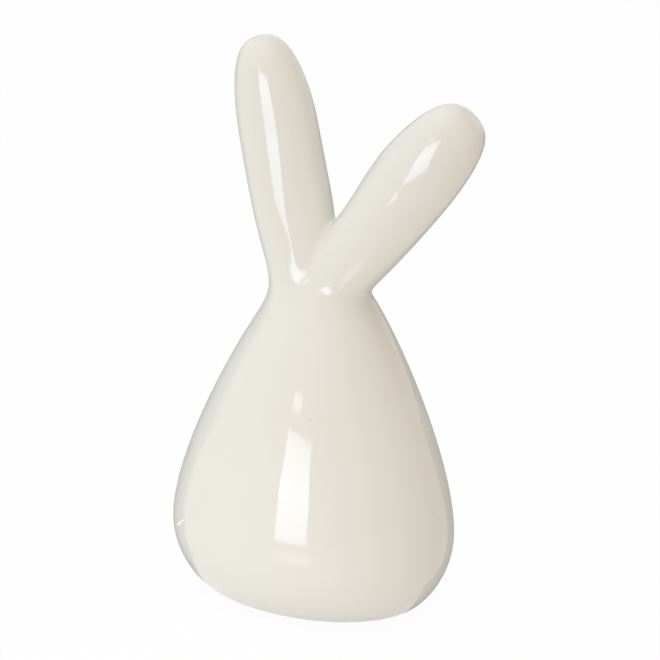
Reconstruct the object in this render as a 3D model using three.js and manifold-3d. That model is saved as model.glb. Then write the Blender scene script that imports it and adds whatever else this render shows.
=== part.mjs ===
// A glazed ceramic bunny ornament: a hollow oval body that rises from a flat foot to two plain ears.
// Millimetres, +Z up. The ears spread along X and the front of the ornament faces -Y.
// The body and the ears are separate hollow castings. Each ear sits on the crown of the body, and
// the two ears meet each other at a mitre, with a thin luting gap in every joint.

import * as THREE from 'three';
import { mergeVertices, toCreasedNormals } from 'three/addons/utils/BufferGeometryUtils.js';
import Module from 'manifold-3d';

const wasm = await Module();
wasm.setup();

// Body casting, sizes of the glazed outside
const FOOT_HALF_WIDTH = 30.6;
const FOOT_HALF_DEPTH = 21.9;
const FOOT_EDGE_SLOPE = 28.8;
const FOOT_EDGE_REACH = 5.7;
const BELLY_HALF_WIDTH = 40.2;
const BELLY_HALF_DEPTH = 32.3;
const BELLY_HEIGHT = 19.2;
const BELLY_LOWER_REACH = 8.1;
const BELLY_UPPER_REACH = 17.4;
const SHOULDER_HALF_WIDTH = 15;
const SHOULDER_HEIGHT = 86;
const SHOULDER_SLOPE = 56.9;
const SHOULDER_LOWER_REACH = 18.2;
const SHOULDER_UPPER_REACH = 5;
const CROWN_RISE = 8.5;
const CROWN_REACH = 7;

// Walls, holes and joints of the castings
const BODY_WALL = 4;
const EAR_WALL = 3.8;
const LUTING_GAP = 0.3;
const DRAIN_HOLE_RADIUS = 8;
const VENT_HOLE_RADIUS = 2.5;

// Felt pads under the foot, one in each quarter of it, with their middles well in from its edge
const PAD_RADIUS = 4;
const PAD_THICKNESS = 1.5;
const PAD_INSET = 8.5;
const PAD_BEARING = 45;

// Ears. The middle line of an ear starts at rootX, rootSink below the shoulder, and ends at tipX,
// tipRise above the shoulder. A lean is in degrees from upright towards +X, a reach is how far the
// line keeps to that lean, and fullAt is the share of its length where the ear is fullest.
const UPRIGHT_EAR = {
  rootX: -1.6,
  rootSink: 2,
  rootLean: -24.6,
  rootReach: 26.2,
  rootRadius: 10.6,
  tipX: -22.4,
  tipRise: 71.4,
  tipLean: -19.3,
  tipReach: 25.4,
  fullRadius: 11.05,
  fullHalfDepth: 8.8,
  fullAt: 0.67,
  tipFullness: 0.4,
};
const LEANING_EAR = {
  rootX: -4.1,
  rootSink: 2,
  rootLean: 39,
  rootReach: 27.3,
  rootRadius: 8,
  tipX: 38.9,
  tipRise: 58.5,
  tipLean: 40.2,
  tipReach: 23.2,
  fullRadius: 11.35,
  fullHalfDepth: 9.1,
  fullAt: 0.69,
  tipFullness: 0.35,
};
const MITRE_REACH = 28;

// Fineness of the faceted surfaces
const BODY_SIDES = 56;
const CAVITY_SIDES = 36;
const EAR_SIDES = 32;
const EAR_BORE_SIDES = 20;
const HOLE_SIDES = 24;
const PAD_SIDES = 32;
const LOWER_STEPS = 7;
const FLANK_STEPS = 13;
const CROWN_STEPS = 5;
const EAR_STEM_STEPS = 12;
const EAR_TIP_STEPS = 8;
const LEAST_RING = 0.5;
const CREASE_ANGLE = Math.PI / 6;

// Materials
const GLAZE_COLOUR = 0xe9e5d8;
const FELT_COLOUR = 0xc9c2b2;

function glaze() {
  return new THREE.MeshStandardMaterial({ color: GLAZE_COLOUR, roughness: 0.12, metalness: 0 });
}

function felt() {
  return new THREE.MeshStandardMaterial({ color: FELT_COLOUR, roughness: 0.95, metalness: 0 });
}

// Skins a row of rings into one closed body, with a fan of triangles to a point over each end.
function loft(rings, firstPoint, lastPoint) {
  const count = rings[0].length;
  const points = [...rings.flat(), firstPoint, lastPoint];
  const firstIndex = points.length - 2;
  const lastIndex = points.length - 1;
  const topRing = (rings.length - 1) * count;
  const faces = [];
  for (let side = 0; side < count; side += 1) {
    const next = (side + 1) % count;
    faces.push(firstIndex, next, side);
    for (let row = 0; row < topRing; row += count) {
      faces.push(row + side, row + next, row + count + next);
      faces.push(row + side, row + count + next, row + count + side);
    }
    faces.push(lastIndex, topRing + side, topRing + next);
  }
  const geometry = new THREE.BufferGeometry().setFromPoints(points);
  geometry.setIndex(faces);
  return geometry;
}

// Turns a closed geometry into a solid that can be joined and cut.
function solidOf(geometry) {
  const plain = geometry.clone();
  plain.deleteAttribute('normal');
  plain.deleteAttribute('uv');
  const merged = mergeVertices(plain);
  return new wasm.Manifold(new wasm.Mesh({
    numProp: 3,
    vertProperties: Float32Array.from(merged.attributes.position.array),
    triVerts: Uint32Array.from(merged.index.array),
  }));
}

// A named mesh of a solid, shaded smooth across its facets and sharp at its edges.
function meshOf(name, solid, material) {
  const skin = solid.getMesh();
  const geometry = new THREE.BufferGeometry();
  geometry.setAttribute('position', new THREE.BufferAttribute(skin.vertProperties, 3));
  geometry.setIndex(new THREE.BufferAttribute(skin.triVerts, 1));
  const mesh = new THREE.Mesh(toCreasedNormals(geometry, CREASE_ANGLE), material);
  mesh.name = name;
  return mesh;
}

// Body outline

// A point at a distance from another, along a slope measured from level.
function alongSlope(point, slope, distance) {
  const angle = THREE.MathUtils.degToRad(slope);
  const x = point.x + distance * Math.cos(angle);
  const y = point.y + distance * Math.sin(angle);
  return new THREE.Vector2(x, y);
}

// The side outline of the body from the edge of its foot to its crown, as half-width and height,
// with the outward direction at each place. It is one smooth line of three curves.
function bodyOutline() {
  const foot = new THREE.Vector2(FOOT_HALF_WIDTH, 0);
  const belly = new THREE.Vector2(BELLY_HALF_WIDTH, BELLY_HEIGHT);
  const shoulder = new THREE.Vector2(SHOULDER_HALF_WIDTH, SHOULDER_HEIGHT);
  const crown = new THREE.Vector2(0, SHOULDER_HEIGHT + CROWN_RISE);
  const inwards = 180 - SHOULDER_SLOPE;
  const lower = new THREE.CubicBezierCurve(
    foot,
    alongSlope(foot, FOOT_EDGE_SLOPE, FOOT_EDGE_REACH),
    alongSlope(belly, 90, -BELLY_LOWER_REACH),
    belly,
  );
  const flank = new THREE.CubicBezierCurve(
    belly,
    alongSlope(belly, 90, BELLY_UPPER_REACH),
    alongSlope(shoulder, inwards, -SHOULDER_LOWER_REACH),
    shoulder,
  );
  const cap = new THREE.CubicBezierCurve(
    shoulder,
    alongSlope(shoulder, inwards, SHOULDER_UPPER_REACH),
    alongSlope(crown, 0, CROWN_REACH),
    crown,
  );
  const outline = [];
  for (const [curve, steps] of [[lower, LOWER_STEPS], [flank, FLANK_STEPS], [cap, CROWN_STEPS]]) {
    for (let step = outline.length === 0 ? 0 : 1; step <= steps; step += 1) {
      const place = curve.getPoint(step / steps);
      const along = curve.getTangent(step / steps);
      outline.push({ place, outward: new THREE.Vector2(along.y, -along.x) });
    }
  }
  return outline;
}

// Half-depth for each half-width of the oval section: flatter at the foot than above the belly.
function depthForWidth(height) {
  const atFoot = FOOT_HALF_DEPTH / FOOT_HALF_WIDTH;
  const atBelly = BELLY_HALF_DEPTH / BELLY_HALF_WIDTH;
  const below = Math.max(1 - height / BELLY_HEIGHT, 0);
  return THREE.MathUtils.lerp(atBelly, atFoot, below ** 2);
}

function ovalRing(halfWidth, halfDepth, height, sides) {
  const ring = [];
  for (let side = 0; side < sides; side += 1) {
    const angle = (side / sides) * 2 * Math.PI;
    const x = halfWidth * Math.cos(angle);
    const y = halfDepth * Math.sin(angle);
    ring.push(new THREE.Vector3(x, y, height));
  }
  return ring;
}

// The form of the body above a base height, grown by an offset or, where that is negative, shrunk.
function bodyForm(offset, baseHeight, sides) {
  const rings = [];
  for (const { place, outward } of bodyOutline()) {
    const height = place.y + offset * outward.y;
    const halfWidth = place.x + offset * outward.x;
    const halfDepth = place.x * depthForWidth(place.y) + offset * outward.x;
    if (height < baseHeight || Math.min(halfWidth, halfDepth) < LEAST_RING) {
      continue;
    }
    if (rings.length === 0 && height > baseHeight) {
      rings.push(ovalRing(halfWidth, halfDepth, baseHeight, sides));
    }
    rings.push(ovalRing(halfWidth, halfDepth, height, sides));
  }
  const crownHeight = SHOULDER_HEIGHT + CROWN_RISE + offset;
  return loft(rings, new THREE.Vector3(0, 0, baseHeight), new THREE.Vector3(0, 0, crownHeight));
}

// Ears

function alongLean(point, lean, distance) {
  const angle = THREE.MathUtils.degToRad(lean);
  const x = point.x + distance * Math.sin(angle);
  const z = point.z + distance * Math.cos(angle);
  return new THREE.Vector3(x, 0, z);
}

function middleLine(ear) {
  const root = new THREE.Vector3(ear.rootX, 0, SHOULDER_HEIGHT - ear.rootSink);
  const tip = new THREE.Vector3(ear.tipX, 0, SHOULDER_HEIGHT + ear.tipRise);
  const leaveRoot = alongLean(root, ear.rootLean, ear.rootReach);
  const reachTip = alongLean(tip, ear.tipLean, -ear.tipReach);
  return new THREE.CubicBezierCurve3(root, leaveRoot, reachTip, tip);
}

// An oval ring square to the middle line of an ear at a share of its length.
function earRing(line, share, halfWidth, halfDepth, sides) {
  const centre = line.getPointAt(share);
  const along = line.getTangentAt(share);
  const ring = [];
  for (let side = 0; side < sides; side += 1) {
    const angle = (side / sides) * 2 * Math.PI;
    const across = halfWidth * Math.cos(angle);
    const x = centre.x + across * along.z;
    const y = halfDepth * Math.sin(angle);
    const z = centre.z - across * along.x;
    ring.push(new THREE.Vector3(x, y, z));
  }
  return ring;
}

// The form of an ear, shrunk all round and at its tip by an inset. The stem swells from the root to
// the fullest place, and the rest closes to a blunt round tip.
function earForm(ear, inset, sides) {
  const line = middleLine(ear);
  const tipShare = 1 - inset / line.getLength();
  const flatness = ear.fullHalfDepth / ear.fullRadius;
  const rings = [];
  for (let step = 0; step <= EAR_STEM_STEPS; step += 1) {
    const grown = Math.sin((step / EAR_STEM_STEPS) * (Math.PI / 2));
    const radius = THREE.MathUtils.lerp(ear.rootRadius, ear.fullRadius, grown);
    const share = ear.fullAt * (step / EAR_STEM_STEPS);
    rings.push(earRing(line, share, radius - inset, radius * flatness - inset, sides));
  }
  for (let step = 1; step < EAR_TIP_STEPS; step += 1) {
    const turn = (step / EAR_TIP_STEPS) * (Math.PI / 2);
    const share = THREE.MathUtils.lerp(ear.fullAt, tipShare, Math.sin(turn));
    const closing = Math.cos(turn) ** (2 * ear.tipFullness);
    const halfWidth = (ear.fullRadius - inset) * closing;
    const halfDepth = (ear.fullHalfDepth - inset) * closing;
    rings.push(earRing(line, share, halfWidth, halfDepth, sides));
  }
  return loft(rings, line.getPointAt(0), line.getPointAt(tipShare));
}

// A block that takes away all of an ear on one side of the mitre. The mitre lies halfway between the
// two middle lines, where each has run its reach from the root, and leans by the mean of the two.
function mitreBlock(side) {
  const middle = new THREE.Vector3();
  const direction = new THREE.Vector3();
  let size = 0;
  for (const ear of [UPRIGHT_EAR, LEANING_EAR]) {
    const line = middleLine(ear);
    const share = MITRE_REACH / line.getLength();
    middle.addScaledVector(line.getPointAt(share), 1 / 2);
    direction.add(line.getTangentAt(share));
    size += 2 * line.getLength();
  }
  const block = new THREE.BoxGeometry(size, size, size);
  block.translate(side * (size / 2 - LUTING_GAP / 2), 0, 0);
  block.rotateY(Math.atan2(direction.x, direction.z));
  block.translate(middle.x, middle.y, middle.z);
  return block;
}

function earCasting(ear, cutSide) {
  return solidOf(earForm(ear, 0, EAR_SIDES))
    .subtract(solidOf(earForm(ear, EAR_WALL, EAR_BORE_SIDES)))
    .subtract(solidOf(bodyForm(LUTING_GAP, 0, BODY_SIDES)))
    .subtract(solidOf(mitreBlock(cutSide)));
}

// Body casting

// A round cutter that stands on a point and leans from upright towards +X.
function holeCutter(radius, start, lean, length) {
  const cutter = new THREE.CylinderGeometry(radius, radius, length, HOLE_SIDES);
  cutter.rotateX(Math.PI / 2);
  cutter.translate(0, 0, length / 2);
  cutter.rotateY(THREE.MathUtils.degToRad(lean));
  cutter.translate(start.x, start.y, start.z);
  return cutter;
}

// The hole through which slip is poured in and drained, and a vent hole under each ear that lets
// the air out of it in the kiln.
function bodyCasting() {
  const belowFoot = new THREE.Vector3(0, 0, -BODY_WALL);
  const cuts = [
    bodyForm(-BODY_WALL, BODY_WALL, CAVITY_SIDES),
    holeCutter(DRAIN_HOLE_RADIUS, belowFoot, 0, 3 * BODY_WALL),
  ];
  for (const ear of [UPRIGHT_EAR, LEANING_EAR]) {
    const root = new THREE.Vector3(ear.rootX, 0, SHOULDER_HEIGHT - ear.rootSink);
    cuts.push(holeCutter(VENT_HOLE_RADIUS, root, ear.rootLean, ear.rootSink + 2 * CROWN_RISE));
  }
  let casting = solidOf(bodyForm(0, 0, BODY_SIDES));
  for (const cut of cuts) {
    casting = casting.subtract(solidOf(cut));
  }
  return casting;
}

// Felt pads

function addFeltPads(ornament) {
  const bearing = THREE.MathUtils.degToRad(PAD_BEARING);
  const x = (FOOT_HALF_WIDTH - PAD_INSET) * Math.cos(bearing);
  const y = (FOOT_HALF_DEPTH - PAD_INSET) * Math.sin(bearing);
  for (const [end, endSide] of [['front', -1], ['back', 1]]) {
    for (const [hand, handSide] of [['left', -1], ['right', 1]]) {
      const disc = new THREE.CylinderGeometry(PAD_RADIUS, PAD_RADIUS, PAD_THICKNESS, PAD_SIDES);
      const pad = new THREE.Mesh(disc, felt());
      pad.name = `felt_pad_${end}_${hand}`;
      pad.rotation.x = Math.PI / 2;
      pad.position.set(handSide * x, endSide * y, -PAD_THICKNESS / 2);
      ornament.add(pad);
    }
  }
}

// The whole ornament, moved so that it stands on its pads at the middle of its own bounding box
const ornament = new THREE.Group();
ornament.add(meshOf('body_shell', bodyCasting(), glaze()));
ornament.add(meshOf('ear_upright', earCasting(UPRIGHT_EAR, 1), glaze()));
ornament.add(meshOf('ear_leaning', earCasting(LEANING_EAR, -1), glaze()));
addFeltPads(ornament);

const bounds = new THREE.Box3().setFromObject(ornament, true);
const middle = bounds.getCenter(new THREE.Vector3());
ornament.position.set(-middle.x, -middle.y, PAD_THICKNESS);

export default ornament;
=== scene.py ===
import math

import bmesh
import bpy
import numpy as np
from mathutils import Matrix, Vector, noise


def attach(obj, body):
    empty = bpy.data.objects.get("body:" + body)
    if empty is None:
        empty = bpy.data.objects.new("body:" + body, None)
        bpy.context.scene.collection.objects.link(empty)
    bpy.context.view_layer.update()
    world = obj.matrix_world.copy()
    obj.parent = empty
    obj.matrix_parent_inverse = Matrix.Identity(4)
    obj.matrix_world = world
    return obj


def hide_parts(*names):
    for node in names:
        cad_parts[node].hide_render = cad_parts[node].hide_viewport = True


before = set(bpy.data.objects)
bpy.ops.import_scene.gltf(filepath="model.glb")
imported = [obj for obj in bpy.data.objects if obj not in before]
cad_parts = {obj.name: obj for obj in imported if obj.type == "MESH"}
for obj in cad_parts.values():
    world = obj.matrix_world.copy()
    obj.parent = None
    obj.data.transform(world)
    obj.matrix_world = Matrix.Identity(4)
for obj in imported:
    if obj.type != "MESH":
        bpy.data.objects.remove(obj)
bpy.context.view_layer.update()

# The body is an egg of cream earthenware, cast in slip in a plaster mould and hollow inside. It
# stands on a flat foot and narrows to a crown that carries the ears. All sizes are millimetres
# from the middle of the foot, and the form says how far a point lies outside the glaze.
FOOT_HALF_WIDTH = 30.6
FOOT_HALF_DEPTH = 21.9
FOOT_EDGE_SLOPE = 28.8
FOOT_EDGE_REACH = 5.7
FOOT_EDGE_ROUND = 1.2
BELLY_HALF_WIDTH = 40.2
BELLY_HALF_DEPTH = 32.3
BELLY_HEIGHT = 19.2
BELLY_LOWER_REACH = 8.1
BELLY_UPPER_REACH = 17.4
SHOULDER_HALF_WIDTH = 15
SHOULDER_HEIGHT = 86
SHOULDER_SLOPE = 56.9
SHOULDER_LOWER_REACH = 18.2
SHOULDER_UPPER_REACH = 5
CROWN_RISE = 8.5
CROWN_REACH = 7
FLANK_START = 50
OUTLINE_STEPS = 1500


def heading(slope):
    angle = math.radians(slope)
    return np.array([math.cos(angle), math.sin(angle)])


def curve_points(start, leave, arrive, end, count):
    share = np.linspace(0, 1, count)[:, None]
    rest = 1 - share
    near_start = rest**3 * start + 3 * rest**2 * share * leave
    return near_start + 3 * rest * share**2 * arrive + share**3 * end


def body_outline():
    foot = np.array([FOOT_HALF_WIDTH, 0])
    belly = np.array([BELLY_HALF_WIDTH, BELLY_HEIGHT])
    shoulder = np.array([SHOULDER_HALF_WIDTH, SHOULDER_HEIGHT])
    crown = np.array([0, SHOULDER_HEIGHT + CROWN_RISE])
    inwards = heading(180 - SHOULDER_SLOPE)
    leave_foot = foot + FOOT_EDGE_REACH * heading(FOOT_EDGE_SLOPE)
    reach_belly = belly - BELLY_LOWER_REACH * heading(90)
    leave_belly = belly + BELLY_UPPER_REACH * heading(90)
    reach_shoulder = shoulder - SHOULDER_LOWER_REACH * inwards
    leave_shoulder = shoulder + SHOULDER_UPPER_REACH * inwards
    reach_crown = crown + CROWN_REACH * heading(0)
    lower = curve_points(foot, leave_foot, reach_belly, belly, OUTLINE_STEPS)
    flank = curve_points(belly, leave_belly, reach_shoulder, shoulder, 2 * OUTLINE_STEPS)
    cap = curve_points(shoulder, leave_shoulder, reach_crown, crown, OUTLINE_STEPS)
    return np.concatenate([lower, flank[1:], cap[1:]])


OUTLINE = body_outline()
WIDTHS, HEIGHTS = OUTLINE.T
ALONG = np.gradient(OUTLINE, axis=0)
ALONG /= np.linalg.norm(ALONG, axis=1, keepdims=True)
UPPER = HEIGHTS > FLANK_START - 5


# The lower of two readings, rounded over where they are closer than the given reach.
def soft_min(one, other, reach):
    near = np.clip(1 - np.abs(one - other) / reach, 0, 1)
    return np.minimum(one, other) - near**3 * reach / 6


def outside_body(points):
    x, y, z = points.T
    below = np.clip(1 - z / BELLY_HEIGHT, 0, 1)
    at_foot = FOOT_HALF_DEPTH / FOOT_HALF_WIDTH
    at_belly = BELLY_HALF_DEPTH / BELLY_HALF_WIDTH
    flatness = at_belly + (at_foot - at_belly) * below**2
    away = np.hypot(x, y / flatness)
    beside = (away - np.interp(z, HEIGHTS, WIDTHS)) * np.interp(z, HEIGHTS, ALONG[:, 1])
    widths = WIDTHS[UPPER][::-1]
    above = z - np.interp(away, widths, HEIGHTS[UPPER][::-1])
    above = above * np.interp(away, widths, -ALONG[UPPER][::-1, 0])
    side = np.where(z > FLANK_START, above, beside)
    return -soft_min(-side, z, FOOT_EDGE_ROUND)


# The upright ear is an oval casting, hollow and open at its root. It swells along a gently bent
# middle line to a blunt round tip, and its oval section turns a little on the way up.
UPRIGHT_EAR = {
    "root": (-0.98, 84),
    "root_lean": -26.9,
    "root_reach": 25.7,
    "root_radius": 9.25,
    "tip": (-22.4, 157.36),
    "tip_lean": -18.2,
    "tip_reach": 34,
    "radius": 10.92,
    "full_at": 0.659,
    "tip_bluntness": 0.376,
    "root_flatness": 0.863,
    "middle_flatness": 0.831,
    "flatness": 0.74,
    "tip_flatness": 0.985,
    "root_turn": 24.4,
    "tip_turn": 0.7,
    "squareness": 2.062,
    "inner_side": 1,
    "swell": 0.83,
    "swell_at": 28.6,
}
SWELL_REACH = 12
MIDDLE_LINE_STEPS = 2000


def middle_line(ear):
    root = np.array(ear["root"], float)
    tip = np.array(ear["tip"], float)
    leave_root = root + ear["root_reach"] * heading(90 - ear["root_lean"])
    reach_tip = tip - ear["tip_reach"] * heading(90 - ear["tip_lean"])
    line = curve_points(root, leave_root, reach_tip, tip, MIDDLE_LINE_STEPS)
    run = np.concatenate([[0], np.cumsum(np.hypot(*np.diff(line, axis=0).T))])
    return line, np.gradient(line, run, axis=0), run


def on_line(ear, run):
    held = np.clip(run, 0, ear["length"])
    place = np.stack([np.interp(held, ear["run"], part) for part in ear["line"].T], -1)
    along = np.stack([np.interp(held, ear["run"], part) for part in ear["along"].T], -1)
    return place + along * (run - held)[..., None], along


def outside_ear(points, ear):
    x, y, z = points.T
    flat = np.stack([x, z], -1)
    run = ((flat - ear["line"][0]) * ear["along"][0]).sum(-1)
    for _ in range(5):
        place, along = on_line(ear, run)
        run = run + ((flat - place) * along).sum(-1)
    place, along = on_line(ear, run)
    across = (flat - place)[:, 0] * along[:, 1] - (flat - place)[:, 1] * along[:, 0]
    whole = np.clip(run / ear["length"], 0, 1)
    turn = np.radians(ear["root_turn"] + (ear["tip_turn"] - ear["root_turn"]) * whole)
    wide = across * np.cos(turn) + y * np.sin(turn)
    deep = y * np.cos(turn) - across * np.sin(turn)
    full_run = ear["full_at"] * ear["length"]
    share = np.clip(run / full_run, 0, 1)
    past = np.clip((run - full_run) / (ear["length"] - full_run), 0, None)
    flatness = (1 - share) * (1 - 2 * share) * ear["root_flatness"]
    flatness = flatness + 4 * share * (1 - share) * ear["middle_flatness"]
    flatness = flatness + share * (2 * share - 1) * ear["flatness"]
    flatness = flatness + np.clip(past, 0, 1) ** 2 * (ear["tip_flatness"] - ear["flatness"])
    power = ear["squareness"]
    away = (np.abs(wide) ** power + np.abs(deep / flatness) ** power) ** (1 / power)
    grown = np.sin(share * math.pi / 2)
    stem = away - ear["root_radius"] - (ear["radius"] - ear["root_radius"]) * grown
    near_crotch = np.exp(-(((run - ear["swell_at"]) / SWELL_REACH) ** 2))
    inner = np.clip(ear["inner_side"] * across / np.maximum(away, 1), 0, 1) ** 3
    stem = stem - ear["swell"] * near_crotch * inner + np.clip(-run, 0, None)
    bulge = (away / ear["radius"]) ** (1 / ear["tip_bluntness"]) + past**2
    tip = ear["radius"] * (bulge ** ear["tip_bluntness"] - 1)
    return np.where(run > full_run, tip, stem)


# The leaning ear is a second casting of the same kind, shorter and a little fuller. It leans out
# to the right from the same crown, and is hollow and open at its root too.
LEANING_EAR = {
    "root": (-4.66, 84),
    "root_lean": 39.4,
    "root_reach": 21.1,
    "root_radius": 8.53,
    "tip": (38.93, 144.47),
    "tip_lean": 42.1,
    "tip_reach": 16.3,
    "radius": 11.5,
    "full_at": 0.644,
    "tip_bluntness": 0.3,
    "root_flatness": 0.85,
    "middle_flatness": 0.877,
    "flatness": 0.815,
    "tip_flatness": 0.747,
    "root_turn": -18.2,
    "tip_turn": 14.4,
    "squareness": 2.153,
    "inner_side": -1,
    "swell": -1.29,
    "swell_at": 30.1,
}

for ear in (UPRIGHT_EAR, LEANING_EAR):
    ear["line"], ear["along"], ear["run"] = middle_line(ear)
    ear["length"] = ear["run"][-1]


def outside_upright(points):
    return outside_ear(points, UPRIGHT_EAR)


def outside_leaning(points):
    return outside_ear(points, LEANING_EAR)


# The castings are luted together while damp, with slip worked into every joint by brush. It
# leaves a wide soft hollow at the upright ear's outer side, a tight crease at the leaning ear's
# outer side, and a narrow crotch between the ears.
LEFT_JOINT = 11
FRONT_JOINT = 7.9
RIGHT_JOINT = 5
CROTCH_JOINT = 2.2
VALLEY_JOINT = 4
CROTCH_HEIGHT = 102
VALLEY_HEIGHT = 96
NUDGE = 0.01
LONGEST_MOVE = 3


def outside_glaze(points):
    x, y, z = points.T
    body = outside_body(points)
    upright = outside_upright(points)
    leaning = outside_leaning(points)
    left = np.clip(-x / SHOULDER_HALF_WIDTH, 0, 1)
    right = np.clip(x / SHOULDER_HALF_WIDTH, 0, 1)
    joint = FRONT_JOINT + (LEFT_JOINT - FRONT_JOINT) * left + (RIGHT_JOINT - FRONT_JOINT) * right
    rise = np.clip((z - VALLEY_HEIGHT) / (CROTCH_HEIGHT - VALLEY_HEIGHT), 0, 1)
    crotch = VALLEY_JOINT + (CROTCH_JOINT - VALLEY_JOINT) * rise
    return soft_min(soft_min(upright, leaning, crotch), body, joint)


# Moves points straight in or out until they lie at one depth under every form that is given.
def settle(points, forms, depth=0):
    points = np.array(points, float)
    for _ in range(8):
        reads = np.stack([form(points) + depth for form in forms], -1)
        slopes = np.zeros((len(points), len(forms), 3))
        for axis in range(3):
            nudge = np.zeros(3)
            nudge[axis] = NUDGE
            for row, form in enumerate(forms):
                rise = form(points + nudge) - form(points - nudge)
                slopes[:, row, axis] = rise / (2 * NUDGE)
        moves = (np.linalg.pinv(slopes, rcond=0.05) @ reads[..., None])[..., 0]
        lengths = np.linalg.norm(moves, axis=1, keepdims=True)
        points -= moves * np.minimum(1, LONGEST_MOVE / np.maximum(lengths, 1e-9))
    return points


# Moves points along their own directions until they lie on a form.
def press(points, directions, form):
    moved = np.zeros((len(points), 1))
    for _ in range(24):
        moved -= form(points + moved * directions)[:, None]
    return points + moved * directions


# The glaze runs over the three castings in one skin. It starts as a coarse net of 16 sides that
# is drawn up from the drain hole, over the foot and up the body to the joints.
SIDES = 16
DRAIN_HOLE_RADIUS = 8
FOOT_ROWS = [0.06, 0.45, 0.8, 0.965]
BODY_ROWS = [1.2, 5, 10, 16, 23, 31, 40, 50, 60, 69, 77]
NECK_ROWS = [0.45, 0.8, 0.93]
NECK_HALF_DEPTH = 11
MEETING_X = -2.1
MEETING_Y = 10
MEETING_HEIGHT = 91


def grow(net, loop):
    edges = [net.edges.get((loop[i - 1], loop[i])) for i in range(len(loop))]
    made = bmesh.ops.extrude_edge_only(net, edges=edges)["geom"]
    fresh = {item for item in made if isinstance(item, bmesh.types.BMVert)}
    grown = []
    for vert in loop:
        ends = [edge.other_vert(vert) for edge in vert.link_edges]
        grown.append(next(end for end in ends if end in fresh))
    return grown


def lay(loop, places):
    for vert, place in zip(loop, places):
        vert.co = place


def spread(one, other, share):
    return one + (other - one) * share


net = bmesh.new()
loop = bmesh.ops.create_circle(net, radius=DRAIN_HOLE_RADIUS, segments=SIDES)["verts"]
round_turn = np.array([vert.co for vert in loop]) / DRAIN_HOLE_RADIUS
foot = round_turn * (FOOT_HALF_WIDTH, FOOT_HALF_DEPTH, 0)
for share in FOOT_ROWS:
    loop = grow(net, loop)
    lay(loop, spread(round_turn * DRAIN_HOLE_RADIUS, foot, share))
outline_run = np.concatenate([[0], np.cumsum(np.hypot(*np.diff(OUTLINE, axis=0).T))])
for run in BODY_ROWS:
    width = np.interp(run, outline_run, WIDTHS)
    height = np.interp(run, outline_run, HEIGHTS)
    depth = width * BELLY_HALF_DEPTH / BELLY_HALF_WIDTH
    loop = grow(net, loop)
    top_row = settle(round_turn * (width, depth, 0) + (0, 0, height), [outside_body])
    lay(loop, top_row)

# The net's last row on the body lies in the joints: from the back round the left side to the
# front under the upright ear, and from there round the right side under the leaning ear.
half = SIDES // 2
neck = round_turn * (SHOULDER_HALF_WIDTH, NECK_HALF_DEPTH, 0) + (0, 0, SHOULDER_HEIGHT + 3)
neck[1:half] = settle(neck[1:half], [outside_body, outside_upright])
neck[half + 1:] = settle(neck[half + 1:], [outside_body, outside_leaning])
meet = np.array([[MEETING_X, MEETING_Y, MEETING_HEIGHT], [MEETING_X, -MEETING_Y, MEETING_HEIGHT]])
meet = settle(meet, [outside_body, outside_upright, outside_leaning])
neck[0] = meet[0]
neck[half] = meet[1]
neck = settle(neck, [outside_glaze])
for share in NECK_ROWS:
    loop = grow(net, loop)
    lay(loop, settle(spread(top_row, neck, share), [outside_glaze]))
seam = grow(net, loop)
lay(seam, neck)

# A row of the net crosses the crotch from front to back, where the two ears meet. It is an arch
# that stands on the two points where the castings meet on the body.
ARCH_TOP_X = 0.4
ARCH_TOP_HEIGHT = 110
bridge = net.edges.new((seam[half], seam[0]))
arch = [seam[half]]
for left in range(half, 1, -1):
    arch.append(bmesh.utils.edge_split(bridge, arch[-1], 1 / left)[1])
arch = arch[1:]
sweep = np.linspace(0, math.pi, half + 1)[1:-1]
low = neck[half][2]
over_x = spread(MEETING_X, ARCH_TOP_X, 1 - np.abs(1 - sweep / (math.pi / 2)))
over_z = low + (ARCH_TOP_HEIGHT - low) * np.sin(sweep)
over = np.stack([over_x, neck[half][1] * np.cos(sweep), over_z], -1)
over = settle(over, [outside_upright, outside_leaning])
lay(arch, settle(over, [outside_glaze]))

# Each ear's part of the net is drawn on from the joints to the tip and closed there. Its rows lie
# at shares of the ear's length.
EAR_ROOT_ROWS = [0.1, 0.28, 0.5, 0.75]
EAR_ROWS = [0.4, 0.5, 0.6, 0.7, 0.79, 0.87, 0.94, 0.985]


def ear_loop(ear, run, turns):
    place, along = on_line(ear, np.array(run))
    full_run = ear["full_at"] * ear["length"]
    past = max((run - full_run) / (ear["length"] - full_run), 0)
    radius = ear["radius"] * (1 - past**2) ** ear["tip_bluntness"]
    if run < full_run:
        grown = math.sin(run / full_run * math.pi / 2)
        radius = ear["root_radius"] + (ear["radius"] - ear["root_radius"]) * grown
    across = radius * np.cos(turns)
    depth = radius * ear["flatness"] * np.sin(turns)
    return np.stack([place[0] + across * along[1], depth, place[1] - across * along[0]], -1)


def draw_ear(ear, loop, turns, part):
    known = set(net.faces)
    root = np.array([vert.co for vert in loop])
    first = ear_loop(ear, EAR_ROWS[0] * ear["length"], turns)
    for share in EAR_ROOT_ROWS:
        loop = grow(net, loop)
        lay(loop, settle(spread(root, first, share), [outside_glaze]))
    for share in EAR_ROWS:
        loop = grow(net, loop)
        lay(loop, ear_loop(ear, share * ear["length"], turns))
    edges = [net.edges.get((loop[i - 1], loop[i])) for i in range(len(loop))]
    cap = bmesh.ops.edgenet_fill(net, edges=edges)["faces"]
    bmesh.ops.poke(net, faces=cap)
    for face in set(net.faces) - known:
        face.material_index = part


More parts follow.
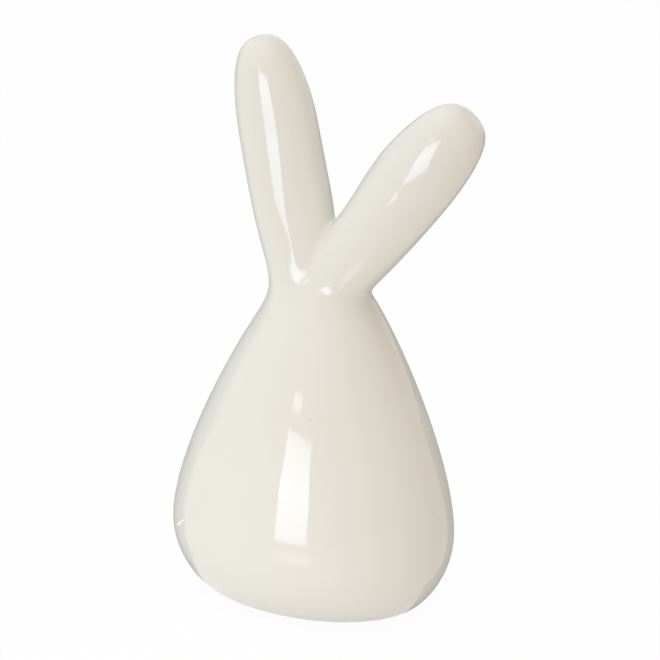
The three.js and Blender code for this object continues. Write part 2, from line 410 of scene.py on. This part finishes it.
BODY_PART = 0
UPRIGHT_PART = 1
LEANING_PART = 2
step = 2 * math.pi / SIDES
left_turns = math.pi / 2 + step * np.arange(SIDES)
draw_ear(UPRIGHT_EAR, seam[:half + 1] + arch, left_turns, UPRIGHT_PART)
right_turns = math.pi / 2 - step * np.arange(SIDES)
draw_ear(LEANING_EAR, [seam[0]] + seam[:half - 1:-1] + arch, right_turns, LEANING_PART)
bmesh.ops.recalc_face_normals(net, faces=net.faces)
coarse = bpy.data.meshes.new("net")
net.to_mesh(coarse)
net.free()


def read_points(mesh, kind="co"):
    values = np.zeros(len(mesh.vertices) * 3, np.float32)
    mesh.vertices.foreach_get(kind, values)
    return values.reshape(-1, 3).astype(float)


# The net is subdivided and laid on the form. The finer net is drawn in at its bends, so the
# coarse one is let out first until both pass the same places.
NET_LEVELS = 3
cast = bpy.data.objects.new("net", coarse)
bpy.context.scene.collection.objects.link(cast)
finer = cast.modifiers.new("finer", "SUBSURF")
finer.levels = NET_LEVELS
finer.render_levels = NET_LEVELS
corners = read_points(coarse)
let_out = corners.copy()
for _ in range(5):
    coarse.vertices.foreach_set("co", let_out.astype(np.float32).ravel())
    coarse.update()
    bpy.context.view_layer.update()
    graph = bpy.context.evaluated_depsgraph_get()
    skin = bpy.data.meshes.new_from_object(cast.evaluated_get(graph))
    places = read_points(skin)
    let_out += corners - places[:len(corners)]
bpy.data.objects.remove(cast)
places = press(places, read_points(skin, "normal"), outside_glaze)
skin.vertices.foreach_set("co", places.astype(np.float32).ravel())
skin.update()

# The clay wall under the glaze is 4 mm thick, and its lining is the face that the slip was poured
# out from. Below LOW_WALL the lining is settled at that depth under the form.
WALL = 4
LOW_WALL = 30
lining = places - WALL * read_points(skin, "normal")
low = places[:, 2] < LOW_WALL
lining[low] = settle(lining[low], [outside_glaze], WALL)

# The drain hole lets the slip out after casting and the hot air out in the kiln. A wet sponge
# leaves its edge rounded.
DRAIN_LIP = 1.2
from_hole = np.hypot(places[:, 0], places[:, 1]) - DRAIN_HOLE_RADIUS
lip = (from_hole < DRAIN_LIP) & (places[:, 2] < 0.5 * DRAIN_LIP)
above_lip = lip & (from_hole < 0.01)
lining[above_lip] = places[above_lip] + (0, 0, WALL)
lip_turn = (1 - np.clip(from_hole[lip] / DRAIN_LIP, 0, 1)) * math.pi / 2
lip_radius = DRAIN_HOLE_RADIUS + DRAIN_LIP * (1 - np.sin(lip_turn))
places[lip, :2] *= (lip_radius / (from_hole[lip] + DRAIN_HOLE_RADIUS))[:, None]
places[lip, 2] = DRAIN_LIP * (1 - np.cos(lip_turn))
skin.vertices.foreach_set("co", places.astype(np.float32).ravel())
skin.update()
outward = read_points(skin, "normal")
home = skin.attributes.new("home", "INT", "POINT")
home.data.foreach_set("value", np.arange(len(places), dtype=np.int32))

# The clear cream glaze is dipped over the outside and fired glossy. It is a touch uneven in tone,
# and ripples so gently that only its highlights show it. It has one pinhole on the front. The foot
# and the inside are bare fired clay.
MM = 0.001
GLAZE_THIN = (0.82, 0.794, 0.727, 1)
GLAZE_THICK = (0.84, 0.82, 0.763, 1)
GLAZE_GLOSS = (0.035, 0.035, 0.035, 1)
GLAZE_DULLER = (0.065, 0.065, 0.065, 1)
RIPPLE_HEIGHT = 0.16 * MM
PINHOLE = (4.95 * MM, -22.4 * MM, 61.6 * MM)
PINHOLE_RADIUS = 0.28 * MM
# The pinhole is painted, not cut: bare clay colour darkened further with painted shade of its
# hollow.
PINHOLE_CLAY_AND_SHADE = (0.42, 0.36, 0.27, 1)
CLAY_DARK = (0.62, 0.55, 0.44, 1)
CLAY_PALE = (0.72, 0.66, 0.55, 1)
CLAY_ROUGHNESS = 0.85
CLAY_GRAIN_HEIGHT = 0.05 * MM

# The unevenness of each finish is a cloud with a scale and an amount of detail.
GLAZE_TONE_CLOUD = (22, 3)
GLAZE_GLOSS_CLOUD = (60, 4)
GLAZE_RIPPLE_CLOUD = (70, 1)
CLAY_TONE_CLOUD = (300, 6)
CLAY_GRAIN_CLOUD = (900, 3)


def procedural(name):
    material = bpy.data.materials.new(name)
    material.use_nodes = True
    nodes = material.node_tree.nodes
    return material, nodes, material.node_tree.links, nodes["Principled BSDF"]


def cloud(nodes, links, scale, detail):
    place = nodes.new("ShaderNodeTexCoord")
    uneven = nodes.new("ShaderNodeTexNoise")
    uneven.inputs["Scale"].default_value = scale
    uneven.inputs["Detail"].default_value = detail
    links.new(place.outputs["Object"], uneven.inputs["Vector"])
    return uneven.outputs["Fac"]


def tones(nodes, links, source, low, high, start=0.3, end=0.7):
    ramp = nodes.new("ShaderNodeValToRGB")
    ramp.color_ramp.elements[0].position = start
    ramp.color_ramp.elements[0].color = low
    ramp.color_ramp.elements[1].position = end
    ramp.color_ramp.elements[1].color = high
    links.new(source, ramp.inputs["Fac"])
    return ramp.outputs["Color"]


def relief(nodes, links, source, height, shader):
    bump = nodes.new("ShaderNodeBump")
    bump.inputs["Strength"].default_value = 1
    bump.inputs["Distance"].default_value = height
    links.new(source, bump.inputs["Height"])
    links.new(bump.outputs["Normal"], shader.inputs["Normal"])


glaze, nodes, links, shader = procedural("cream_glaze")
colour = tones(nodes, links, cloud(nodes, links, *GLAZE_TONE_CLOUD), GLAZE_THIN, GLAZE_THICK)
# Paints the pinhole as a dark spot: bare clay plus painted shade where the hollow would be.
place = nodes.new("ShaderNodeTexCoord")
from_pinhole = nodes.new("ShaderNodeVectorMath")
from_pinhole.operation = "DISTANCE"
from_pinhole.inputs[1].default_value = PINHOLE
links.new(place.outputs["Object"], from_pinhole.inputs[0])
within = nodes.new("ShaderNodeMapRange")
within.inputs["From Min"].default_value = PINHOLE_RADIUS
within.inputs["From Max"].default_value = 0.5 * PINHOLE_RADIUS
links.new(from_pinhole.outputs["Value"], within.inputs["Value"])
pinhole_clay_and_shade = nodes.new("ShaderNodeMix")
pinhole_clay_and_shade.data_type = "RGBA"
links.new(within.outputs["Result"], pinhole_clay_and_shade.inputs["Factor"])
links.new(colour, pinhole_clay_and_shade.inputs["A"])
pinhole_clay_and_shade.inputs["B"].default_value = PINHOLE_CLAY_AND_SHADE
links.new(pinhole_clay_and_shade.outputs["Result"], shader.inputs["Base Color"])
gloss = tones(nodes, links, cloud(nodes, links, *GLAZE_GLOSS_CLOUD), GLAZE_GLOSS, GLAZE_DULLER)
links.new(gloss, shader.inputs["Roughness"])
relief(nodes, links, cloud(nodes, links, *GLAZE_RIPPLE_CLOUD), RIPPLE_HEIGHT, shader)

bare_clay, nodes, links, shader = procedural("bare_clay")
colour = tones(nodes, links, cloud(nodes, links, *CLAY_TONE_CLOUD), CLAY_DARK, CLAY_PALE)
links.new(colour, shader.inputs["Base Color"])
shader.inputs["Roughness"].default_value = CLAY_ROUGHNESS
relief(nodes, links, cloud(nodes, links, *CLAY_GRAIN_CLOUD), CLAY_GRAIN_HEIGHT, shader)

# The skin is parted at the joints into the three castings, and each gets its wall. The model
# stands on felt pads, so everything is set down on the floor at their thickness.
PAD_THICKNESS = 1.5
MIDDLE_X = -1.051
BARE_BELOW = 0.05
SET_DOWN = Matrix.Scale(MM, 4) @ Matrix.Translation((MIDDLE_X, 0, PAD_THICKNESS))


def finish_piece(name, mesh, materials, node):
    piece = bpy.data.objects.new(name, mesh)
    bpy.context.scene.collection.objects.link(piece)
    for material in materials:
        mesh.materials.append(material)
    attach(piece, "root")
    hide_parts(node)


# Gives the outside of a piece the smooth normals of the whole skin, so that no joint shows as a
# line. The glaze runs over them all.
def share_normals(mesh):
    corners = np.zeros(len(mesh.loops) * 3, np.float32)
    mesh.corner_normals.foreach_get("vector", corners)
    corners = corners.reshape(-1, 3)
    homes = np.zeros(len(mesh.vertices), np.int32)
    mesh.attributes["home"].data.foreach_get("value", homes)
    shown = np.zeros(len(mesh.polygons), np.int32)
    mesh.attributes["shown"].data.foreach_get("value", shown)
    verts = np.zeros(len(mesh.loops), np.int32)
    mesh.loops.foreach_get("vertex_index", verts)
    counts = np.zeros(len(mesh.polygons), np.int32)
    mesh.polygons.foreach_get("loop_total", counts)
    outside = np.repeat(shown, counts) > 0
    corners[outside] = outward[homes[verts[outside]]]
    mesh.normals_split_custom_set(corners)
    mesh.attributes.remove(mesh.attributes["home"])
    mesh.attributes.remove(mesh.attributes["shown"])


for name, part, node in (
    ("glazed_body", BODY_PART, "body_shell"),
    ("glazed_ear_upright", UPRIGHT_PART, "ear_upright"),
    ("glazed_ear_leaning", LEANING_PART, "ear_leaning"),
):
    piece = bmesh.new()
    piece.from_mesh(skin)
    shown = piece.faces.layers.int.new("shown")
    spare = [face for face in piece.faces if face.material_index != part]
    bmesh.ops.delete(piece, geom=spare, context="FACES")
    index = piece.verts.layers.int["home"]
    outside = set(piece.faces)
    for face in outside:
        middle = face.calc_center_median()
        under = middle.z < BARE_BELOW or middle.xy.length < DRAIN_HOLE_RADIUS + DRAIN_LIP
        face.material_index = int(under and part == BODY_PART)
        face[shown] = 1
    made = bmesh.ops.extrude_face_region(piece, geom=list(outside), use_keep_orig=True)["geom"]
    inner = [item for item in made if isinstance(item, bmesh.types.BMVert)]
    lay(inner, lining[[vert[index] for vert in inner]])
    bmesh.ops.recalc_face_normals(piece, faces=piece.faces)
    sample = next(iter(outside))
    if sample.normal.dot(Vector(outward[sample.verts[0][index]])) < 0:
        bmesh.ops.reverse_faces(piece, faces=piece.faces[:])
    for face in piece.faces:
        face.smooth = True
        if face not in outside:
            face.material_index = 1
            face[shown] = 0
    bmesh.ops.transform(piece, matrix=SET_DOWN, verts=piece.verts)
    mesh = bpy.data.meshes.new(name)
    piece.to_mesh(mesh)
    piece.free()
    share_normals(mesh)
    finish_piece(name, mesh, [glaze, bare_clay], node)

# Four round pads of grey wool felt, punched from sheet and stuck under the foot, keep the bare
# clay off the shelf. Their cut edges are a little soft and uneven.
PAD_RADIUS = 3.9
PAD_SEGMENTS = 48
PAD_EDGE = 0.3
PAD_RINGS = 6
PAD_INSET = 8.5
PAD_UNEVEN = 0.06
FELT_DARK = (0.10, 0.095, 0.09, 1)
FELT_PALE = (0.24, 0.23, 0.215, 1)
FELT_NAP = 0.12 * MM
FELT_TONE_CLOUD = (2600, 8)
FELT_NAP_CLOUD = (4200, 8)
FELT_TONES_FROM = 0.38
FELT_TONES_TO = 0.62
FELT_SHINE = 0.1
FELT_SHEEN = 0.4
FELT_SHEEN_SPREAD = 0.6
PAD_SWAY_SCALE = 1.1

felt, nodes, links, shader = procedural("wool_felt")
fibres = cloud(nodes, links, *FELT_TONE_CLOUD)
colour = tones(nodes, links, fibres, FELT_DARK, FELT_PALE, FELT_TONES_FROM, FELT_TONES_TO)
links.new(colour, shader.inputs["Base Color"])
shader.inputs["Roughness"].default_value = 1
shader.inputs["Specular IOR Level"].default_value = FELT_SHINE
shader.inputs["Sheen Weight"].default_value = FELT_SHEEN
shader.inputs["Sheen Roughness"].default_value = FELT_SHEEN_SPREAD
relief(nodes, links, cloud(nodes, links, *FELT_NAP_CLOUD), FELT_NAP, shader)

for end, depth_side in (("front", -1), ("back", 1)):
    for side, width_side in (("left", -1), ("right", 1)):
        pad = bmesh.new()
        bmesh.ops.create_circle(pad, cap_ends=True, radius=PAD_RADIUS, segments=PAD_SEGMENTS)
        made = bmesh.ops.extrude_face_region(pad, geom=pad.faces[:], use_keep_orig=True)["geom"]
        top = [item for item in made if isinstance(item, bmesh.types.BMVert)]
        bmesh.ops.translate(pad, vec=(0, 0, PAD_THICKNESS), verts=top)
        rims = [edge for edge in pad.edges if abs(edge.verts[0].co.z - edge.verts[1].co.z) < 0.01]
        bmesh.ops.bevel(pad, geom=rims, offset=PAD_EDGE, offset_type="OFFSET", segments=3,
                        affect="EDGES", profile=0.5, material=-1)
        for _ in range(PAD_RINGS):
            caps = [face for face in pad.faces if len(face.verts) > 4]
            bmesh.ops.inset_region(pad, faces=caps, thickness=PAD_RADIUS / (PAD_RINGS + 2))
        bmesh.ops.poke(pad, faces=[face for face in pad.faces if len(face.verts) > 4])
        bmesh.ops.recalc_face_normals(pad, faces=pad.faces)
        x = width_side * (FOOT_HALF_WIDTH - PAD_INSET) * math.sqrt(0.5)
        y = depth_side * (FOOT_HALF_DEPTH - PAD_INSET) * math.sqrt(0.5)
        for vert in pad.verts:
            sway = noise.noise_vector(vert.co * PAD_SWAY_SCALE + Vector((x, y, 0)))
            vert.co.xy += sway.xy * PAD_UNEVEN
            vert.co.z += min(sway.z, 0) * PAD_UNEVEN * (vert.co.z > PAD_THICKNESS / 2)
        bmesh.ops.translate(pad, vec=(x, y, -PAD_THICKNESS), verts=pad.verts)
        bmesh.ops.transform(pad, matrix=SET_DOWN, verts=pad.verts)
        for face in pad.faces:
            face.smooth = True
        mesh = bpy.data.meshes.new("felt_" + end + "_" + side)
        pad.to_mesh(mesh)
        pad.free()
        finish_piece(mesh.name, mesh, [felt], "felt_pad_" + end + "_" + side)

# The camera stands to the right of the front, about a metre away, with a long lens. It looks down a
# little, is tilted a little, and has its view shifted a little.
TARGET = Vector((MIDDLE_X * MM, 0, 81.5 * MM))
AZIMUTH = math.radians(20.434)
ELEVATION = math.radians(21)
ROLL = math.radians(2.846)
DISTANCE = 0.96
LENS = 191.65
SENSOR_WIDTH = 36
SHIFT_RIGHT = 0.01045
SHIFT_UP = -0.01475
level = math.cos(ELEVATION)
back = Vector((math.sin(AZIMUTH) * level, -math.cos(AZIMUTH) * level, math.sin(ELEVATION)))
right = Vector((math.cos(AZIMUTH), math.sin(AZIMUTH), 0))
up = back.cross(right)
turned_right = math.cos(ROLL) * right + math.sin(ROLL) * up
turned_up = math.cos(ROLL) * up - math.sin(ROLL) * right
lens = bpy.data.cameras.new("camera")
lens.lens = LENS
lens.sensor_width = SENSOR_WIDTH
lens.shift_x = SHIFT_RIGHT
lens.shift_y = SHIFT_UP
camera = bpy.data.objects.new("camera", lens)
bpy.context.scene.collection.objects.link(camera)
facing = Matrix((turned_right, turned_up, back)).transposed().to_4x4()
camera.matrix_world = Matrix.Translation(TARGET + DISTANCE * back) @ facing
bpy.context.scene.camera = camera
bpy.context.scene.view_settings.view_transform = "Standard"

# The lamps are soft panels round the table. What the glaze mirrors of them is the softbox alone,
# so the panels light it without a reflection of their own.
SOFTBOX_TURN = -6.5
SOFTBOX_DISTANCE = 0.63
SOFTBOX_WIDTH = 0.233
SOFTBOX_LOW = -0.065
SOFTBOX_HIGH = 0.188
SOFTBOX_GLOW = 6.0
CLOTH_LOW = (0.64, 0.68, 0.80, 1)
CLOTH_MIDDLE = (0.95, 1, 1.2, 1)
CLOTH_HIGH = (0.72, 0.76, 0.90, 1)
CLOTH_BRIGHTEST_AT = 0.6
KEY_STRENGTH = 5.9
LEFT_STRENGTH = 0.53
RIGHT_STRENGTH = 0.2
TOP_STRENGTH = 1.26
DAYLIGHT = (0.97, 1, 1.04)
RIGHT_COLOUR = (1, 0.46, 0.04)
PANEL_SIDE = 0.9
PANEL_TURN = 75
LEFT_DISTANCE = 0.8
LEFT_HEIGHT = 0.35
RIGHT_DISTANCE = 0.6
RIGHT_HEIGHT = 0.15
TOP_PLACE = (0, -0.1, 0.9)
ORNAMENT_MIDDLE = (0, 0, 0.08)


def beside_table(turn, distance, height):
    angle = math.radians(turn)
    return Vector((distance * math.sin(angle), -distance * math.cos(angle), height))


def lamp(name, place, aim, width, tall, strength, colour):
    light = bpy.data.lights.new(name, "AREA")
    light.shape = "RECTANGLE"
    light.size = width
    light.size_y = tall
    light.energy = strength * math.pi * width * tall
    light.color = colour
    thing = bpy.data.objects.new(name, light)
    bpy.context.scene.collection.objects.link(thing)
    thing.location = place
    thing.rotation_euler = (aim - place).to_track_quat("-Z", "Y").to_euler()
    thing.visible_glossy = False


middle = Vector(ORNAMENT_MIDDLE)
softbox_tall = SOFTBOX_HIGH - SOFTBOX_LOW
softbox_place = beside_table(SOFTBOX_TURN, SOFTBOX_DISTANCE, (SOFTBOX_HIGH + SOFTBOX_LOW) / 2)
lamp("key", softbox_place, Vector((0, 0, softbox_place.z)), SOFTBOX_WIDTH, softbox_tall,
     KEY_STRENGTH, DAYLIGHT)
left_place = beside_table(-PANEL_TURN, LEFT_DISTANCE, LEFT_HEIGHT)
right_place = beside_table(PANEL_TURN, RIGHT_DISTANCE, RIGHT_HEIGHT)
top_place = Vector(TOP_PLACE)
lamp("left_panel", left_place, middle, PANEL_SIDE, PANEL_SIDE, LEFT_STRENGTH, DAYLIGHT)
lamp("right_panel", right_place, middle, PANEL_SIDE, PANEL_SIDE, RIGHT_STRENGTH, RIGHT_COLOUR)
lamp("top_panel", top_place, middle, PANEL_SIDE, PANEL_SIDE, TOP_STRENGTH, DAYLIGHT)


# The cloth front of the softbox is a panel that only reflections show. It is brightest a little
# above its middle, and dims towards its top and its bottom.
def set_piece(name, shape, material):
    mesh = bpy.data.meshes.new(name)
    shape.to_mesh(mesh)
    shape.free()
    mesh.materials.append(material)
    thing = bpy.data.objects.new(name, mesh)
    bpy.context.scene.collection.objects.link(thing)
    return thing


def reflection_only(thing):
    thing.visible_camera = False
    thing.visible_diffuse = False
    thing.visible_shadow = False
    thing.visible_transmission = False
    thing.visible_volume_scatter = False


def glowing(name, strength, colour=(1, 1, 1, 1)):
    material, nodes, links, shader = procedural(name)
    nodes.remove(shader)
    glow = nodes.new("ShaderNodeEmission")
    glow.inputs["Strength"].default_value = strength
    glow.inputs["Color"].default_value = colour
    links.new(glow.outputs[0], nodes["Material Output"].inputs["Surface"])
    return material, nodes, links, glow


def standing_panel(turn, distance, low, high, width, offset=0):
    panel = bmesh.new()
    bmesh.ops.create_grid(panel, x_segments=1, y_segments=1, size=0.5)
    bmesh.ops.scale(panel, vec=(width, high - low, 1), verts=panel.verts)
    bmesh.ops.rotate(panel, matrix=Matrix.Rotation(math.pi / 2, 3, "X"), verts=panel.verts)
    bmesh.ops.translate(panel, vec=(offset, -distance, (low + high) / 2), verts=panel.verts)
    spun = Matrix.Rotation(math.radians(turn), 3, "Z")
    bmesh.ops.rotate(panel, matrix=spun, verts=panel.verts)
    return panel


cloth, nodes, links, glow = glowing("softbox_cloth", SOFTBOX_GLOW)
place = nodes.new("ShaderNodeTexCoord")
parts = nodes.new("ShaderNodeSeparateXYZ")
links.new(place.outputs["Object"], parts.inputs["Vector"])
height = nodes.new("ShaderNodeMapRange")
height.inputs["From Min"].default_value = SOFTBOX_LOW
height.inputs["From Max"].default_value = SOFTBOX_HIGH
links.new(parts.outputs["Z"], height.inputs["Value"])
fade = nodes.new("ShaderNodeValToRGB")
fade.color_ramp.elements[0].color = CLOTH_LOW
fade.color_ramp.elements[1].color = CLOTH_HIGH
brightest = fade.color_ramp.elements.new(CLOTH_BRIGHTEST_AT)
brightest.color = CLOTH_MIDDLE
links.new(height.outputs["Result"], fade.inputs["Fac"])
links.new(fade.outputs["Color"], glow.inputs["Color"])
front = standing_panel(SOFTBOX_TURN, SOFTBOX_DISTANCE, SOFTBOX_LOW, SOFTBOX_HIGH, SOFTBOX_WIDTH)
reflection_only(set_piece("softbox_front", front, cloth))

# A slit of light shows over the left part of the softbox, as if its cloth didn't close there. It is
# a panel that only reflections show.
SLIT_LOW = 0.234
SLIT_HIGH = 0.262
SLIT_WIDTH = 0.095
SLIT_OFFSET = -0.075
SLIT_GLOW = 4.4
slit_light = glowing("slit_light", SLIT_GLOW)[0]
slit = standing_panel(SOFTBOX_TURN, SOFTBOX_DISTANCE, SLIT_LOW, SLIT_HIGH, SLIT_WIDTH, SLIT_OFFSET)
reflection_only(set_piece("softbox_slit", slit, slit_light))

# Behind the ornament the table and the room lie in shade. The rims of the glaze mirror that
# shade, and the camera sees the white table.
SHADE = 0.38
SHADE_FAR = 1150
SHADE_LEFT = [(-45, -16), (-91, -6), (-160, 20), (-300, 55), (-SHADE_FAR, 150)]
SHADE_RIGHT = [(560, 780), (200, 280), (100, 130), (65, 50), (45, 0), (25, -5), (-25, -10)]
SHADE_BACK = [(-SHADE_FAR, SHADE_FAR), (0, SHADE_FAR), (560, SHADE_FAR)]
SHADE_LIFT = 0.3
SHADE_TALL = 200
shade_paint = glowing("shade", SHADE)[0]
shade = bmesh.new()
ring = [shade.verts.new((x, y, SHADE_LIFT)) for x, y in SHADE_LEFT + SHADE_BACK + SHADE_RIGHT]
bmesh.ops.contextual_create(shade, geom=ring)
wall = [edge for edge in shade.edges if max(vert.co.x for vert in edge.verts) < 1]
wall = [edge for edge in wall if max(vert.co.y for vert in edge.verts) == SHADE_FAR]
raised = bmesh.ops.extrude_edge_only(shade, edges=wall)["geom"]
raised = [item for item in raised if isinstance(item, bmesh.types.BMVert)]
bmesh.ops.translate(shade, vec=(0, 0, SHADE_TALL), verts=raised)
bmesh.ops.scale(shade, vec=(MM, MM, MM), verts=shade.verts)
reflection_only(set_piece("shade_card", shade, shade_paint))

# The glaze also mirrors the table: a patch of sheen near its front edge, where the softbox shines
# back, and a thin glint on its left. Both are panels that only reflections show.
SHEEN = 2.4
SHEEN_MIDDLE = (-0.042, -0.113, 0.2 * MM)
SHEEN_WIDTH = 0.045
SHEEN_DEPTH = 0.045
GLINT = 2.4
GLINT_MIDDLE = (-0.0805, 0.002, 0.5 * MM)
GLINT_LENGTH = 0.024
GLINT_WIDTH = 0.002
GLINT_TURN = 23


def lying_panel(middle, width, depth, turn):
    panel = bmesh.new()
    bmesh.ops.create_grid(panel, x_segments=1, y_segments=1, size=0.5)
    bmesh.ops.scale(panel, vec=(width, depth, 1), verts=panel.verts)
    bmesh.ops.rotate(panel, matrix=Matrix.Rotation(turn, 3, "Z"), verts=panel.verts)
    bmesh.ops.translate(panel, vec=middle, verts=panel.verts)
    return panel


across_view = Matrix.Rotation(AZIMUTH, 3, "Z")
sheen = lying_panel(across_view @ Vector(SHEEN_MIDDLE), SHEEN_WIDTH, SHEEN_DEPTH, AZIMUTH)
reflection_only(set_piece("table_sheen", sheen, glowing("sheen", SHEEN)[0]))
glint = lying_panel(GLINT_MIDDLE, GLINT_LENGTH, GLINT_WIDTH, math.radians(GLINT_TURN))
reflection_only(set_piece("table_glint", glint, glowing("glint", GLINT)[0]))


# Tells rays that come from the camera, from gloss or through glass from the rays of plain light.
def direct_rays(nodes, links):
    path = nodes.new("ShaderNodeLightPath")
    seen = path.outputs["Is Camera Ray"]
    for kind in ("Is Glossy Ray", "Is Transmission Ray"):
        either = nodes.new("ShaderNodeMath")
        either.operation = "MAXIMUM"
        links.new(seen, either.inputs[0])
        links.new(path.outputs[kind], either.inputs[1])
        seen = either.outputs[0]
    return seen


# The room is white where it is seen, and gives a soft fill light from all round. The fill is a
# little warm and under half as bright as the white.
ROOM_COLOUR = (0.458, 0.45, 0.415, 1)
ROOM_STRENGTH = 1
world = bpy.data.worlds.new("room")
bpy.context.scene.world = world
world.use_nodes = True
nodes = world.node_tree.nodes
links = world.node_tree.links
white = nodes.new("ShaderNodeBackground")
white.inputs["Strength"].default_value = 1
white.inputs["Color"].default_value = (1, 1, 1, 1)
fill = nodes["Background"]
fill.inputs["Color"].default_value = ROOM_COLOUR
fill.inputs["Strength"].default_value = ROOM_STRENGTH
mix = nodes.new("ShaderNodeMixShader")
links.new(direct_rays(nodes, links), mix.inputs["Fac"])
links.new(fill.outputs[0], mix.inputs[1])
links.new(white.outputs[0], mix.inputs[2])
links.new(mix.outputs[0], nodes["World Output"].inputs["Surface"])

# The table is a plain pale board. It faces the camera, with its front edge 155 mm before the
# ornament.
TABLE_HALF_WIDTH = 1.2
TABLE_FRONT = -0.155
TABLE_BACK = 1.4
TABLE_DROP = 0.05 * MM
TABLE_WHITE_SHARE = 0.96
TABLE_COLOUR = (0.94, 0.94, 0.94, 1)
TABLE_ROUGHNESS = 0.9
table = bmesh.new()
bmesh.ops.create_grid(table, x_segments=1, y_segments=1, size=1)
table_half_depth = (TABLE_BACK - TABLE_FRONT) / 2
bmesh.ops.scale(table, vec=(TABLE_HALF_WIDTH, table_half_depth, 1), verts=table.verts)
table_middle = Vector((0, (TABLE_BACK + TABLE_FRONT) / 2, -TABLE_DROP))
bmesh.ops.translate(table, vec=table_middle, verts=table.verts)
bmesh.ops.rotate(table, matrix=across_view, verts=table.verts)
paint, nodes, links, shader = procedural("table_paint")
shader.inputs["Base Color"].default_value = TABLE_COLOUR
shader.inputs["Roughness"].default_value = TABLE_ROUGHNESS
share = nodes.new("ShaderNodeMath")
share.operation = "MULTIPLY"
share.inputs[1].default_value = TABLE_WHITE_SHARE
links.new(direct_rays(nodes, links), share.inputs[0])
white = nodes.new("ShaderNodeEmission")
mix = nodes.new("ShaderNodeMixShader")
links.new(share.outputs[0], mix.inputs["Fac"])
links.new(shader.outputs[0], mix.inputs[1])
links.new(white.outputs[0], mix.inputs[2])
links.new(mix.outputs[0], nodes["Material Output"].inputs["Surface"])
set_piece("floor", table, paint)
